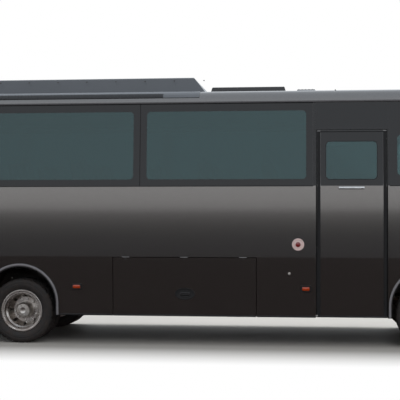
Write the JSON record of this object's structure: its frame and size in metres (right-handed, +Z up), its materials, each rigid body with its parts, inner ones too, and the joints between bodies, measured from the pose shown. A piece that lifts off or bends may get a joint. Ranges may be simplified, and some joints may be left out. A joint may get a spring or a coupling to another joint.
{
  "type": "airport shuttle midi coach",
  "caption": "Midi coach with a hollow cabin, plug door behind the front axle, luggage hatches, boot lid, roof hatch and steered wheels.",
  "frame": {"origin": "on the ground under the centre of the overall length and width", "axes": "+X forward, -Y the passenger door side, +Z up"},
  "size_m": [8.3998, 2.77, 3.195],
  "materials": {
    "body_paint": "dark grey metallic clear coat",
    "moulding": "satin moulding",
    "floor": "floor covering",
    "frame_paint": "black chassis paint",
    "interior_plastic": "grained",
    "steel": "bare steel",
    "switch_plastic": "moulded",
    "glass": "tinted",
    "cast_iron": "cast",
    "tank_metal": "painted",
    "black_plastic": "moulded",
    "lamp_clear": "clear lens",
    "lamp_amber": "orange lens",
    "lamp_red": "red lens",
    "bay_metal": "painted sheet",
    "roof_plastic": "moulded",
    "seat_fabric": "woven",
    "tyre": "rubber",
    "wheel_metal": "polished"
  },
  "bodies": {
    "coach": {"arch_lips": "moulding", "cabin_floor": "floor", "chassis_frame": "frame_paint", "dashboard": "interior_plastic", "door_release": "switch_plastic", "engine": "cast_iron", "exhaust": "steel", "front_axle_beam": "frame_paint", "front_bumper": "body_paint", "front_mask": "body_paint", "fuel_tank": "tank_metal", "grille": "black_plastic", "headlamps": "lamp_clear", "leaf_springs": "frame_paint", "luggage_bays": "bay_metal", "marker_lamps": "lamp_amber", "mirrors": "black_plastic", "propshaft": "frame_paint", "rear_axle": "cast_iron", "rear_bumper": "body_paint", "rear_panel": "body_paint", "roof_panel": "body_paint", "roof_units": "roof_plastic", "screens": "glass", "seats": "seat_fabric", "side_glass": "glass", "side_wall_left": "body_paint", "side_wall_right": "body_paint", "steering_wheel": "black_plastic", "tail_lamps": "lamp_red", "wheel_arches": "black_plastic", "wipers": "black_plastic"},
    "knuckle_left": {"knuckle_left": "cast_iron"},
    "knuckle_right": {"knuckle_right": "cast_iron"},
    "tie_rod": {"tie_rod": "steel"},
    "front_left_wheel": {"tyre_front_left": "tyre", "wheel_front_left": "wheel_metal"},
    "front_right_wheel": {"tyre_front_right": "tyre", "wheel_front_right": "wheel_metal"},
    "rear_left_wheels": {"tyres_rear_left": "tyre", "wheels_rear_left": "wheel_metal"},
    "rear_right_wheels": {"tyres_rear_right": "tyre", "wheels_rear_right": "wheel_metal"},
    "door_arms": {"door_arms": "steel"},
    "passenger_door": {"passenger_door": "body_paint", "passenger_door_glass": "glass"},
    "driver_door": {"driver_door": "body_paint", "driver_door_glass": "glass"},
    "luggage_hatch_right": {"luggage_hatch_right": "body_paint"},
    "luggage_hatch_left": {"luggage_hatch_left": "body_paint"},
    "boot_lid": {"boot_lid": "body_paint"},
    "roof_hatch": {"roof_hatch": "black_plastic"}
  },
  "joints": [
    {"name": "steer_left", "type": "hinge", "parent": "coach", "child": "knuckle_left", "pos_m": [3.02, 0.87, 0.3835], "axis": [0, 0, 1], "range_deg": [-38, 38]},
    {"name": "steer_right", "type": "hinge", "parent": "coach", "child": "knuckle_right", "pos_m": [3.02, -0.87, 0.3835], "axis": [0, 0, 1], "range_deg": [-38, 38]},
    {"name": "tie_rod_pivot", "type": "hinge", "parent": "knuckle_left", "child": "tie_rod", "pos_m": [2.855, 0.87, 0.285], "axis": [0, 0, 1], "range_deg": [-38, 38]},
    {"name": "spin_front_left", "type": "hinge", "parent": "knuckle_left", "child": "front_left_wheel", "pos_m": [3.02, 0.985, 0.3835], "axis": [0, 1, 0], "continuous": true},
    {"name": "spin_front_right", "type": "hinge", "parent": "knuckle_right", "child": "front_right_wheel", "pos_m": [3.02, -0.985, 0.3835], "axis": [0, 1, 0], "continuous": true},
    {"name": "spin_rear_left", "type": "hinge", "parent": "coach", "child": "rear_left_wheels", "pos_m": [-1.78, 0.8625, 0.3835], "axis": [0, 1, 0], "continuous": true},
    {"name": "spin_rear_right", "type": "hinge", "parent": "coach", "child": "rear_right_wheels", "pos_m": [-1.78, -0.8625, 0.3835], "axis": [0, 1, 0], "continuous": true},
    {"name": "door_arms_swing", "type": "hinge", "parent": "coach", "child": "door_arms", "pos_m": [1.775, -1.06, 1], "axis": [0, 0, -1], "range_deg": [0, 156.72]},
    {"name": "door_leaf_pivot", "type": "hinge", "parent": "door_arms", "child": "passenger_door", "pos_m": [2.12885, -1.0886, 1], "axis": [0, 0, 1], "range_deg": [0, 156.72]},
    {"name": "driver_door_hinge", "type": "hinge", "parent": "coach", "child": "driver_door", "pos_m": [3.4365, 1.182, 1.46], "axis": [0, 0, -1], "range_deg": [0, 70]},
    {"name": "luggage_hatch_right_hinge", "type": "hinge", "parent": "coach", "child": "luggage_hatch_right", "pos_m": [0.19, -1.18192, 1.0345], "axis": [-1, 0, 0], "range_deg": [0, 85]},
    {"name": "luggage_hatch_left_hinge", "type": "hinge", "parent": "coach", "child": "luggage_hatch_left", "pos_m": [0.19, 1.18192, 1.0345], "axis": [1, 0, 0], "range_deg": [0, 85]},
    {"name": "boot_lid_hinge", "type": "hinge", "parent": "coach", "child": "boot_lid", "pos_m": [-4.1511, 0, 1.3865], "axis": [0, 1, 0], "range_deg": [0, 85]},
    {"name": "roof_hatch_hinge", "type": "hinge", "parent": "coach", "child": "roof_hatch", "pos_m": [1.376, 0, 3.048], "axis": [0, 1, 0], "range_deg": [0, 50]}
  ],
  "couplings": [
    {"joint": "steer_right", "follows": "steer_left", "ratio": 1},
    {"joint": "tie_rod_pivot", "follows": "steer_left", "ratio": -1},
    {"joint": "door_leaf_pivot", "follows": "door_arms_swing", "ratio": 1}
  ]
}
